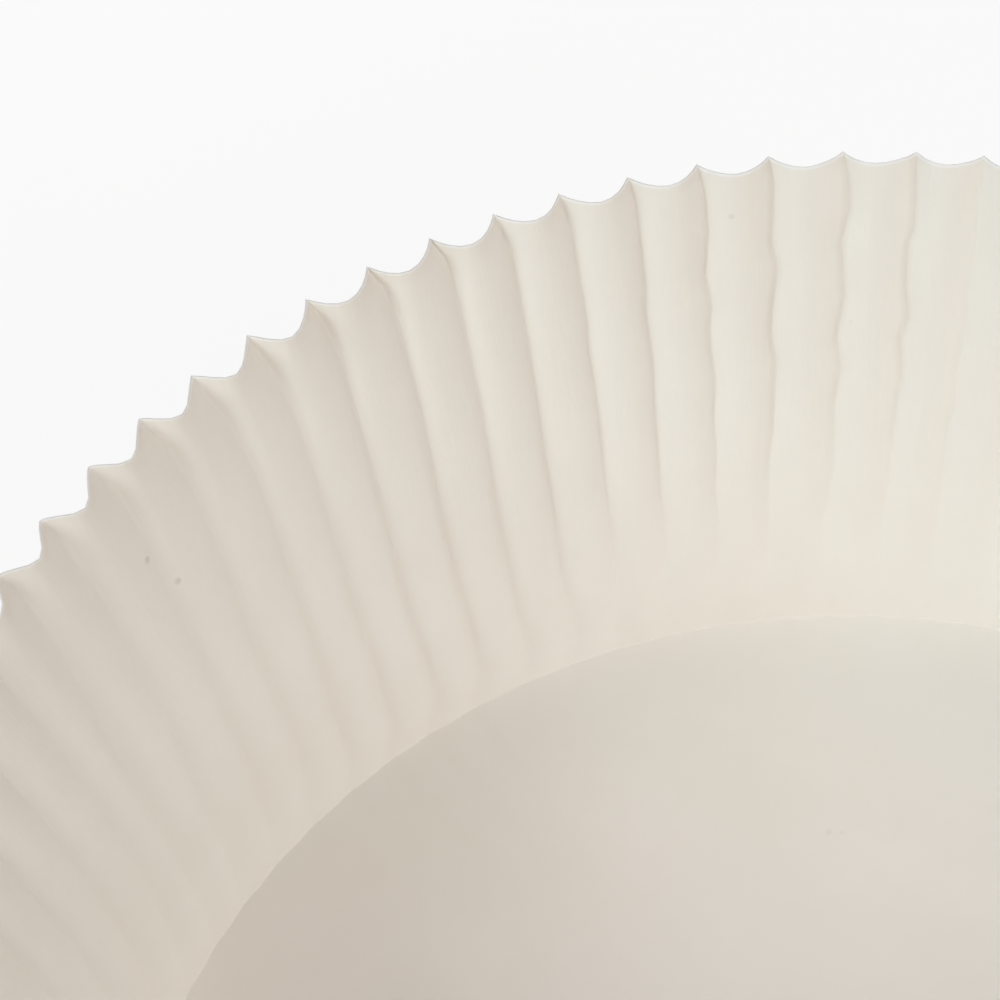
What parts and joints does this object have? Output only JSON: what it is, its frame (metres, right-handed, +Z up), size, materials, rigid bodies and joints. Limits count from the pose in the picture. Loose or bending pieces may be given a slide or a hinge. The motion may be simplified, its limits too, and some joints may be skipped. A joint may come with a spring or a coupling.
{
  "type": "cake pan liner",
  "caption": "Round greaseproof paper liner for a cake tin, with a flat floor and a fluted wall that flares out to an open rim.",
  "frame": {"origin": "centre of the floor's underside, on the surface that the liner stands on", "axes": "+Z up along the axis of the cup, +X and +Y through crease tips at the rim; every quarter turn looks the same"},
  "size_m": [0.252, 0.252, 0.073],
  "materials": {
    "paper": "matte greaseproof paper, off white, faintly translucent"
  },
  "bodies": {
    "root": {"liner": "paper"}
  },
  "joints": []
}
